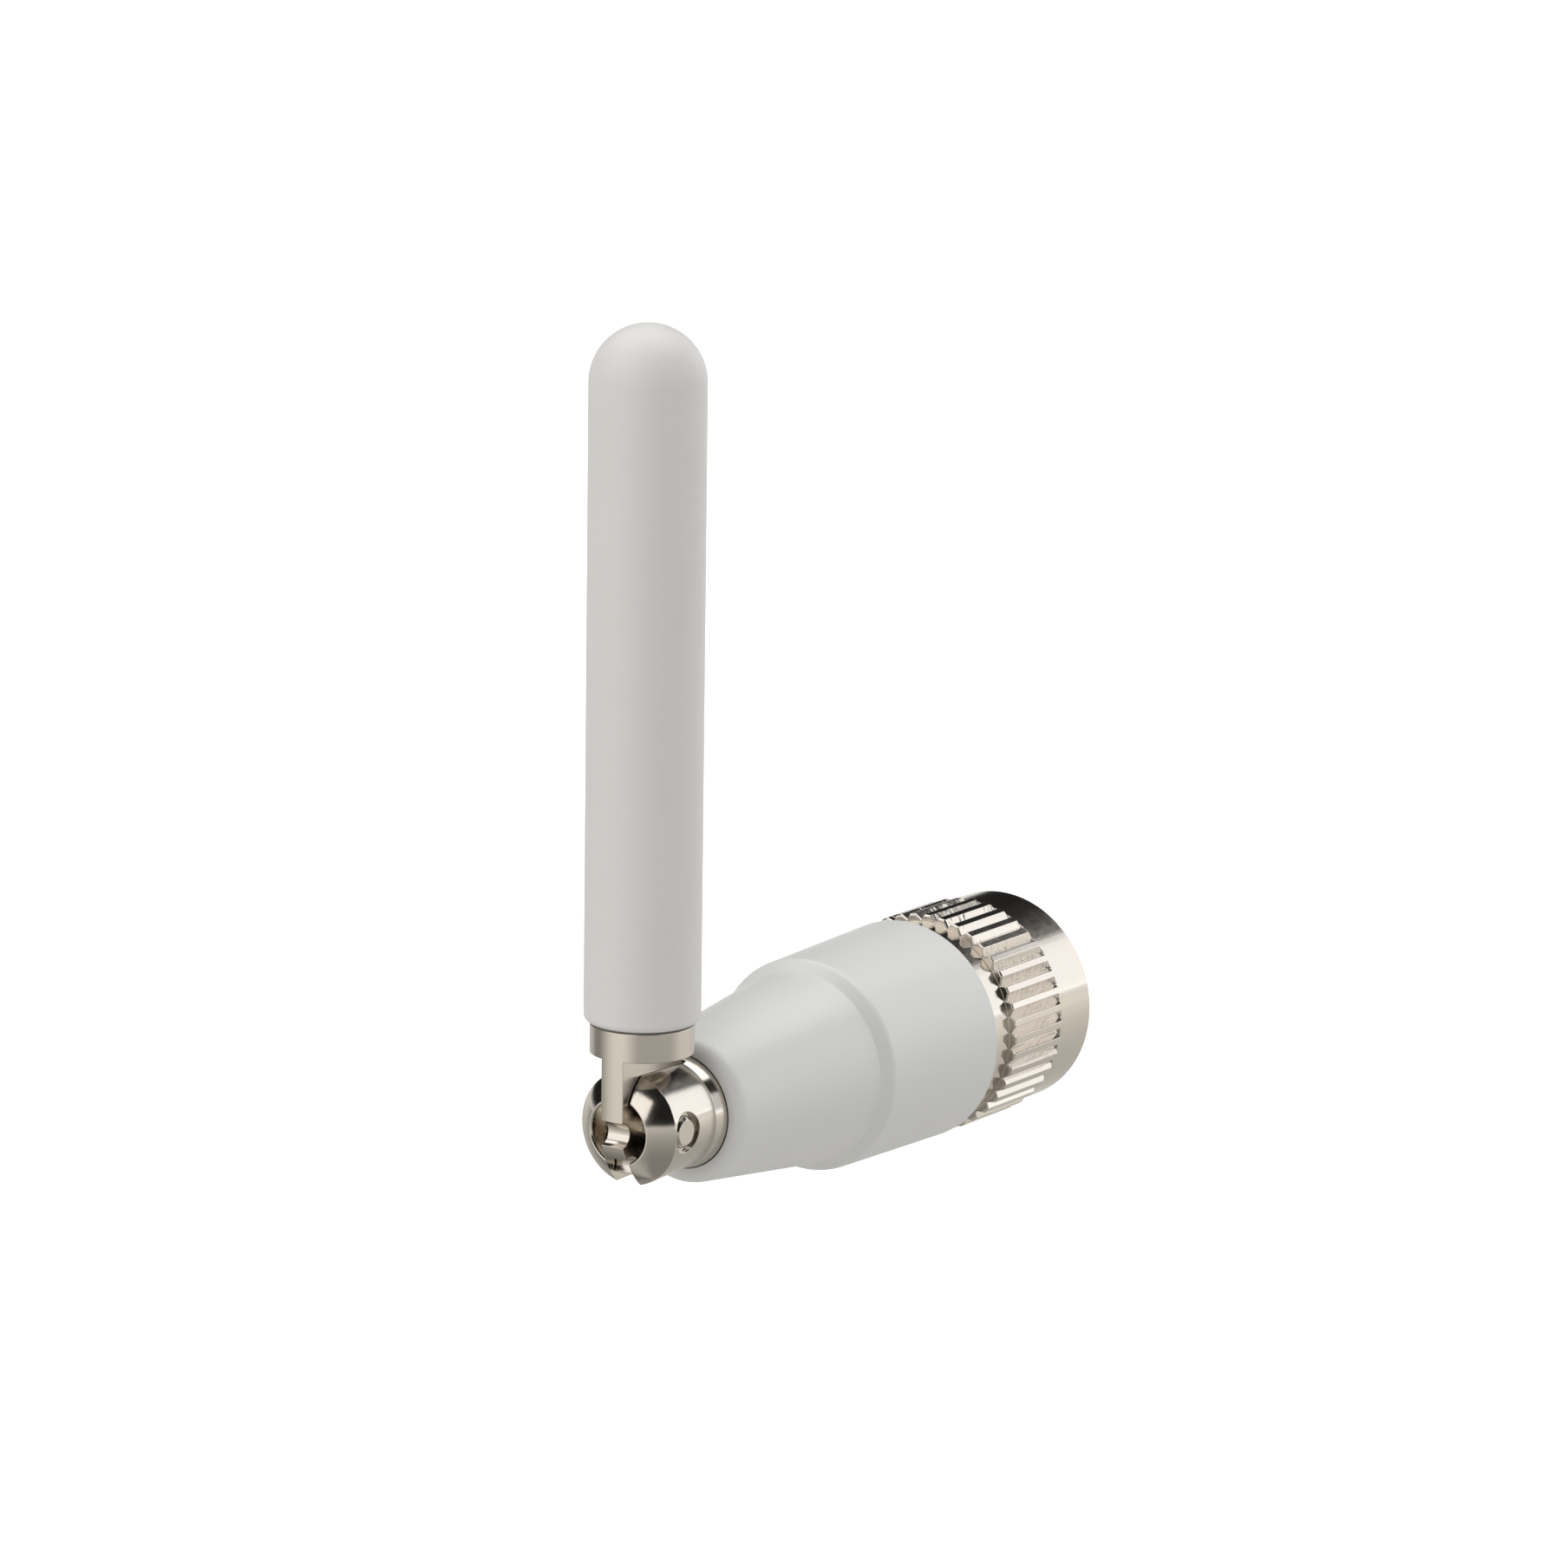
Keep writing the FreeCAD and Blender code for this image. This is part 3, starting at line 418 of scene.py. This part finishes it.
def nut_profile(tooth_radius):
    """The nut's closed outline (along, radius) through a tooth or groove of that radius."""
    rise = max((tooth_radius - NUT_BAND_RADIUS) / (TOOTH_TIP_RADIUS - NUT_BAND_RADIUS), 0)
    edge = min(TOOTH_FRONT_ROUND, abs(tooth_radius - NUT_BAND_RADIUS) * STEP_SHARE)
    outer = soft_outline([
        (nut_front, THREAD_MAJOR + MOUTH_LIP, MOUTH_ROUND),
        (nut_front, NUT_BAND_RADIUS, NUT_EDGE_ROUND),
        (TEETH_FRONT, NUT_BAND_RADIUS, edge),
        (TEETH_FRONT - TOOTH_SLANT * rise, tooth_radius, edge),
        (TEETH_BACK, tooth_radius, TOOTH_END_ROUND),
        (TEETH_BACK, NUT_NECK_RADIUS, NECK_ROOT_ROUND),
        (nut_back, NUT_NECK_RADIUS, NECK_EDGE_ROUND),
        (nut_back, REAR_BORE, REAR_BORE_ROUND),
        (RING_MIDDLE - RING_GROOVE_HALF, REAR_BORE, INNER_ROUND),
        (RING_MIDDLE - RING_GROOVE_HALF, RING_GROOVE_RADIUS, INNER_ROUND),
        (RING_MIDDLE + RING_GROOVE_HALF, RING_GROOVE_RADIUS, INNER_ROUND),
        (RING_MIDDLE + RING_GROOVE_HALF, REAR_BORE, INNER_ROUND),
        (RELIEF_BACK, REAR_BORE, RELIEF_BACK_ROUND),
        (RELIEF_BACK, RELIEF_RADIUS, INNER_ROUND),
        (THREAD_BACK, RELIEF_RADIUS, INNER_ROUND),
        (THREAD_BACK, THREAD_MAJOR, 0),
        (0, THREAD_MAJOR, 0),
    ], NUT_STEPS)
    along_thread = np.linspace(THREAD_BACK, 0, THREAD_ROWS)[1:-1]
    thread_wall = np.stack([along_thread, np.full(len(along_thread), THREAD_MAJOR)], axis=-1)
    return np.concatenate([outer[:-1], thread_wall, outer[-1:]])


def thread_rise(along, angle):
    """Height of the thread's ridge, a V form that is flat at crest and root and fades at both ends.

    With turn as the share of a pitch, the form is (0.5 - |turn - 0.5|) * steepness - root flat, kept
    between 0 and 1, and the ridge is that share of the thread's depth.
    """
    turn = (along / THREAD_PITCH - angle / (2 * np.pi)) % 1
    form = np.clip((0.5 - np.abs(turn - 0.5)) * THREAD_STEEPNESS - THREAD_ROOT_FLAT, 0, 1)
    start_fade = np.clip((THREAD_START - along) / THREAD_START_FADE, 0, 1)
    back_fade = np.clip((along - THREAD_BACK) / THREAD_BACK_FADE, 0, 1)
    return (THREAD_MAJOR - THREAD_MINOR) * form * (start_fade * back_fade)


def cutter_chatter(tree, place):
    """Height of the cutter's chatter in metres: blots here and there, on the shallow flanks alone.

    Their normals lean 37 degrees away from the radius, so the cosine between the two is 0.8.
    """
    facing = add_node(tree, "ShaderNodeTexCoord").outputs["Normal"]
    across = add_node(tree, "ShaderNodeVectorMath", {0: place, 1: (0, 1, 1)}, operation="MULTIPLY")
    outward = add_node(tree, "ShaderNodeVectorMath", {0: across.outputs["Vector"]}, operation="NORMALIZE")
    lean = add_node(tree, "ShaderNodeVectorMath", {
        0: facing, 1: outward.outputs["Vector"],
    }, operation="DOT_PRODUCT")
    flank = add_node(tree, "ShaderNodeMath", {
        0: lean.outputs["Value"], 1: SHALLOW_COSINE, 2: COSINE_REACH,
    }, operation="COMPARE")
    blots_per_metre = [1 / (size * MM) for size in CHATTER_BLOT_MM]
    stretch = add_node(tree, "ShaderNodeVectorMath", {0: place, 1: blots_per_metre}, operation="MULTIPLY")
    blots = add_node(tree, "ShaderNodeTexNoise", {
        "Vector": stretch.outputs["Vector"], "Scale": 1.0, "Detail": 1.0,
    })
    bitten = add_node(tree, "ShaderNodeMapRange", {
        "Value": blots.outputs["Fac"], "From Min": BLOT_EDGE, "From Max": BLOT_FULL,
        "To Max": CHATTER_DEPTH_MM * MM,
    }, interpolation_type="SMOOTHSTEP")
    patches = add_node(tree, "ShaderNodeTexNoise", {
        "Vector": place, "Scale": 1 / (CHATTER_PATCH_MM * MM), "Detail": 1.0,
    })
    patch = add_node(tree, "ShaderNodeMapRange", {
        "Value": patches.outputs["Fac"], "From Min": PATCH_EDGE, "From Max": PATCH_FULL,
    }, interpolation_type="SMOOTHSTEP")
    here = add_node(tree, "ShaderNodeMath", {
        0: patch.outputs["Result"], 1: flank.outputs[0],
    }, operation="MULTIPLY")
    return add_node(tree, "ShaderNodeMath", {
        0: bitten.outputs["Result"], 1: here.outputs[0],
    }, operation="MULTIPLY").outputs[0]


section_angle, section_radius = tooth_section()
nut_rows = np.stack([nut_profile(radius) for radius in section_radius], axis=1)
in_thread = (nut_rows[..., 1] < THREAD_MAJOR + SAME_PLACE) & (nut_rows[..., 0] > THREAD_BACK - SAME_PLACE)
nut_rows[..., 1] -= np.where(in_thread, thread_rise(nut_rows[..., 0], section_angle[None]), 0)
nut_grid = np.stack([
    nut_rows[..., 0], nut_rows[..., 1] * np.sin(section_angle), nut_rows[..., 1] * np.cos(section_angle),
], axis=-1)
nut_nickel = nickel_plate(
    "nickel_plated_milling", roughness=0.15, axis="X", line_depth_mm=0.001, cutter_marks=cutter_chatter
)
nut = grid_piece("toothed_nut", about_x(nut_grid), "nut", nut_nickel, "coupling_nut", closed_rows=True)

# Sleeve. Light grey plastic moulded over the plug's tail and the knuckle's stem in one shot.
# Its front edge is fully rounded, and a step leads from the cone to the drafted grip at the back.
SLEEVE_BORE = 3.73
SLEEVE_BORE_ROUND = 0.03
SLEEVE_FRONT_RADIUS = 4.70
SLEEVE_FRONT_ROUND = 0.85
CONE_LENGTH = 13.31
CONE_END_RADIUS = 6.30
CONE_END_ROUND = 0.12
STEP_LENGTH = 0.7
STEP_RADIUS = 6.94
STEP_ROUND = 0.55
SLEEVE_BACK_RADIUS = 7.25
SLEEVE_BACK_ROUND = 0.18
SLEEVE_RECESS = 0.55
SLEEVE_TURN_STEPS = 256
PLUG_BORE = 5.27
PLUG_BORE_ROUND = 0.1
sleeve_low, sleeve_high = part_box("sleeve")
sleeve_front, sleeve_back = sleeve_low.x / MM, sleeve_high.x / MM
cone_end = sleeve_front + CONE_LENGTH
sleeve_outline = soft_outline([
    (sleeve_front + SLEEVE_RECESS, SLEEVE_BORE, 0),
    (sleeve_front, SLEEVE_BORE, SLEEVE_BORE_ROUND),
    (sleeve_front, SLEEVE_FRONT_RADIUS, SLEEVE_FRONT_ROUND),
    (cone_end, CONE_END_RADIUS, CONE_END_ROUND),
    (cone_end + STEP_LENGTH, STEP_RADIUS, STEP_ROUND),
    (sleeve_back, SLEEVE_BACK_RADIUS, SLEEVE_BACK_ROUND),
    (sleeve_back, PLUG_BORE, PLUG_BORE_ROUND),
    (sleeve_back - SLEEVE_RECESS, PLUG_BORE, 0),
])
sleeve_plastic = moulded_plastic(
    "satin_grey_abs", "#D3D3D1", "#CECECB", roughness=0.35, grain_mm=0.2, depth_mm=0.003
)
sleeve = grid_piece(
    "sleeve_moulding", about_x(turned_surface(sleeve_outline, SLEEVE_TURN_STEPS)), "base", sleeve_plastic,
    "sleeve", closed_rows=True,
)

# Parts inside the nut's mouth, and the pieces that the housings hide.
# Each has the finish that it would show if it were taken out.
PLAIN_PATCH_MM = 0.6
PLAIN_SMOOTHEST, PLAIN_ROUGHEST = 0.8, 1.2


def plain_material(name, colour, roughness, metallic=0.0):
    """A finish with a slow unevenness in its roughness."""
    material, tree, place = new_material(name)
    uneven = add_node(tree, "ShaderNodeTexNoise", {
        "Vector": place, "Scale": 1 / (PLAIN_PATCH_MM * MM), "Detail": 2.0,
    })
    rough = add_node(tree, "ShaderNodeMapRange", {
        "Value": uneven.outputs["Fac"],
        "To Min": roughness * PLAIN_SMOOTHEST, "To Max": roughness * PLAIN_ROUGHEST,
    })
    finish_material(tree, add_node(tree, "ShaderNodeBsdfPrincipled", {
        "Base Color": linear(colour), "Metallic": metallic, "Roughness": rough.outputs["Result"],
    }))
    return material


white_insulator = plain_material("white_ptfe", "#EDEDE9", roughness=0.45)
brass = plain_material("bare_brass", "#D9B66A", roughness=0.3, metallic=1.0)
gilt = plain_material("gold_plate", "#F2C668", roughness=0.2, metallic=1.0)
rubber = plain_material("silicone_rubber", "#8E3B2B", roughness=0.6)
steel = plain_material("spring_steel", "#C4C2BE", roughness=0.3, metallic=1.0)
for node, material in {
    "front_insulator": white_insulator, "rear_insulator": white_insulator, "lower_spacer": white_insulator,
    "upper_spacer": white_insulator, "centre_contact": gilt, "feed_rod": brass, "radiator": brass,
    "detent_plunger": brass, "detent_spring": steel, "gasket": rubber,
}.items():
    dress(node, material)

# Floor. Pale paper, low enough for the tube to swing down to it, and white to the camera further off.
# Seen in the metal it glows with painted light in place of its own lit shade: painted shade close to the
# object and at the left behind it, and painted light far away and towards the lamps.
FLOOR_WIDTH = 6.0
FLOOR_DROP_MM = 0.5
PAPER_COLOUR = "#CFCECB"
PAINTED_FLOOR_LIGHT_COLOUR = "#FFFDF7"
WHITE = (1, 1, 1, 1)
FLOOR_GLOW = 0.55
GLOW_STARTS, GLOW_FULL = 0.2, 0.8
# Painted shade near the object and painted light far off, as levels over decades of distance, then painted
# pools of light and shade by bearing.
NEAR_DECADE, FAR_DECADE = -1.35, -0.25
NEAR_PAINTED_SHADE_LEVEL, FAR_PAINTED_LIGHT_LEVEL = 0.5, 1.06
BETWEEN_LAMPS = 0.75
PAINTED_FLOOR_POOLS = ((-142, -116, -0.42), (-112, -58, 0.8), (-44, -4, -0.52), (60, 100, 0.4))
toward_camera = Vector((view_turn.col[2].x, view_turn.col[2].y, 0)).normalized()
rightward = Vector((view_turn.col[0].x, view_turn.col[0].y, 0)).normalized()
half = FLOOR_WIDTH / 2
floor_z = HINGE.z - (tube_top + FLOOR_DROP_MM) * MM
floor_mesh = bpy.data.meshes.new("floor")
floor_mesh.from_pydata(
    [(-half, -half, floor_z), (half, -half, floor_z), (half, half, floor_z), (-half, half, floor_z)],
    [], [(0, 1, 2, 3)],
)
floor = bpy.data.objects.new("floor", floor_mesh)
bpy.context.scene.collection.objects.link(floor)

paper, tree, place = new_material("pale_paper")
rays = add_node(tree, "ShaderNodeLightPath")
matt = add_node(tree, "ShaderNodeBsdfDiffuse", {"Color": linear(PAPER_COLOUR)})

# Distance from the stretch of the connector axis that the object covers: along X only what lies past
# either end counts.
spot = add_node(tree, "ShaderNodeSeparateXYZ", {"Vector": place})
middle = (cad_low.x + cad_high.x) / 2
from_middle = add_node(tree, "ShaderNodeMath", {0: spot.outputs["X"], 1: middle}, operation="SUBTRACT")
off_middle = add_node(tree, "ShaderNodeMath", {0: from_middle.outputs[0]}, operation="ABSOLUTE")
past_end = add_node(tree, "ShaderNodeMath", {
    0: off_middle.outputs[0], 1: cad_high.x - middle,
}, operation="SUBTRACT")
beyond = add_node(tree, "ShaderNodeMath", {0: past_end.outputs[0], 1: 0.0}, operation="MAXIMUM")
sideways = add_node(tree, "ShaderNodeCombineXYZ", {"X": beyond.outputs[0], "Y": spot.outputs["Y"]})
apart = add_node(tree, "ShaderNodeVectorMath", {0: sideways.outputs["Vector"]}, operation="LENGTH")

whiter = add_node(tree, "ShaderNodeMapRange", {
    "Value": apart.outputs["Value"], "From Min": GLOW_STARTS, "From Max": GLOW_FULL,
    "To Min": FLOOR_GLOW, "To Max": 1.0,
}, interpolation_type="SMOOTHSTEP")
share = add_node(tree, "ShaderNodeMath", {
    0: rays.outputs["Is Camera Ray"], 1: whiter.outputs["Result"],
}, operation="MULTIPLY")
glow = add_node(tree, "ShaderNodeEmission", {"Color": WHITE, "Strength": share.outputs[0]})
both = add_node(tree, "ShaderNodeAddShader", {0: matt.outputs[0], 1: glow.outputs[0]})
# Seen in the metal: painted shade close to the object, rising to painted light far off, by the log of the
# distance.
decades = add_node(tree, "ShaderNodeMath", {0: apart.outputs["Value"], 1: 10.0}, operation="LOGARITHM")
painted_distance_level = add_node(tree, "ShaderNodeMapRange", {
    "Value": decades.outputs[0], "From Min": NEAR_DECADE, "From Max": FAR_DECADE,
    "To Min": NEAR_PAINTED_SHADE_LEVEL, "To Max": FAR_PAINTED_LIGHT_LEVEL,
})

# Bearing about the hinge, measured to the right from the camera. Each painted pool is (start, end, gain): a
# positive gain paints light and a negative gain paints shade; it comes in between the two bearings and
# stays from there on.
from_hinge = add_node(tree, "ShaderNodeVectorMath", {0: place, 1: tuple(HINGE)}, operation="SUBTRACT")
to_right = add_node(tree, "ShaderNodeVectorMath", {
    0: from_hinge.outputs["Vector"], 1: tuple(rightward),
}, operation="DOT_PRODUCT")
to_camera = add_node(tree, "ShaderNodeVectorMath", {
    0: from_hinge.outputs["Vector"], 1: tuple(toward_camera),
}, operation="DOT_PRODUCT")
bearing = add_node(tree, "ShaderNodeMath", {
    0: to_right.outputs["Value"], 1: to_camera.outputs["Value"],
}, operation="ARCTAN2")
painted_pool_gain = BETWEEN_LAMPS
# Each pool adds painted light, or painted shade where its gain is negative.
for start, end, gain in PAINTED_FLOOR_POOLS:
    pool = add_node(tree, "ShaderNodeMapRange", {
        "Value": bearing.outputs[0], "From Min": math.radians(start), "From Max": math.radians(end),
        "To Max": gain,
    }, interpolation_type="SMOOTHSTEP")
    painted_pool_gain = add_node(tree, "ShaderNodeMath", {
        0: painted_pool_gain, 1: pool.outputs["Result"],
    }, operation="ADD").outputs[0]
level = add_node(tree, "ShaderNodeMath", {0: painted_distance_level.outputs["Result"], 1: painted_pool_gain}, operation="MULTIPLY")
# The painted floor light that glossy rays see in place of the lit paper, holding painted shade and painted
# pools of lamp light.
painted_floor_light = add_node(tree, "ShaderNodeEmission", {
    "Color": linear(PAINTED_FLOOR_LIGHT_COLOUR), "Strength": level.outputs[0],
})
finish_material(tree, add_node(tree, "ShaderNodeMixShader", {
    0: rays.outputs["Is Glossy Ray"], 1: both.outputs[0], 2: painted_floor_light.outputs[0],
}))
floor_mesh.materials.append(paper)

# Room and lamps. The room is white to the camera and dimmer overhead to matt surfaces. In the metal it
# is dark above a low bright wall, and four rectangular lamps stand round the hinge.
WALL_TOP = 0.1
WALL_FOOT_LEVEL, ROOM_LEVEL = 0.9, 0.012
FILL_LOW, FILL_OVERHEAD = 0.43, 0.25
LAMP_DISTANCE = 1.2
world = bpy.data.worlds.new("studio")
world.use_nodes = True
bpy.context.scene.world = world
tree = world.node_tree
tree.nodes.clear()
height = add_node(tree, "ShaderNodeSeparateXYZ", {
    "Vector": add_node(tree, "ShaderNodeTexCoord").outputs["Generated"],
}).outputs["Z"]
wall = add_node(tree, "ShaderNodeMapRange", {
    "Value": height, "From Min": 0.0, "From Max": WALL_TOP, "To Min": WALL_FOOT_LEVEL, "To Max": ROOM_LEVEL,
}, interpolation_type="SMOOTHSTEP")
fill = add_node(tree, "ShaderNodeMapRange", {"Value": height, "To Min": FILL_LOW, "To Max": FILL_OVERHEAD})
rays = add_node(tree, "ShaderNodeLightPath")
room = add_node(tree, "ShaderNodeMix", {
    "Factor": rays.outputs["Is Glossy Ray"], "A": fill.outputs["Result"], "B": wall.outputs["Result"],
})
seen = add_node(tree, "ShaderNodeMix", {
    "Factor": rays.outputs["Is Camera Ray"], "A": room.outputs["Result"], "B": 1.0,
})
backdrop = add_node(tree, "ShaderNodeBackground", {"Color": WHITE, "Strength": seen.outputs["Result"]})
add_node(tree, "ShaderNodeOutputWorld", {"Surface": backdrop.outputs[0]})


def soft_box(name, bearing, elevation, size, glare, colour):
    """A rectangular lamp that faces the hinge, at a bearing measured to the right from the camera.

    glare is how bright its face looks in a mirror, where 1 renders as white, so its power is
    glare * pi * area.
    """
    away = math.radians(bearing)
    up = math.radians(elevation)
    level_way = toward_camera * math.cos(away) + rightward * math.sin(away)
    way = level_way * math.cos(up) + Vector((0, 0, 1)) * math.sin(up)
    lamp = bpy.data.objects.new(name, bpy.data.lights.new(name, "AREA"))
    lamp.data.shape = "RECTANGLE"
    lamp.data.size, lamp.data.size_y = size
    lamp.data.energy = glare * math.pi * size[0] * size[1]
    lamp.data.color = colour
    lamp.location = HINGE + way * LAMP_DISTANCE
    lamp.rotation_euler = (-way).to_track_quat("-Z", "Y").to_euler()
    bpy.context.scene.collection.objects.link(lamp)


soft_box("left_box", -50, 27, size=(1.7, 1.15), glare=1.4, colour=(1.0, 0.99, 0.98))
soft_box("top_box", 180, 76, size=(2.0, 1.3), glare=1.85, colour=(1.0, 1.0, 1.0))
soft_box("right_box", 125, 16.5, size=(1.28, 0.62), glare=1.45, colour=(0.98, 0.99, 1.02))
soft_box("side_box", 70, 13, size=(1.2, 0.7), glare=0.78, colour=(0.98, 0.99, 1.02))

bpy.context.scene.view_settings.view_transform = "Standard"
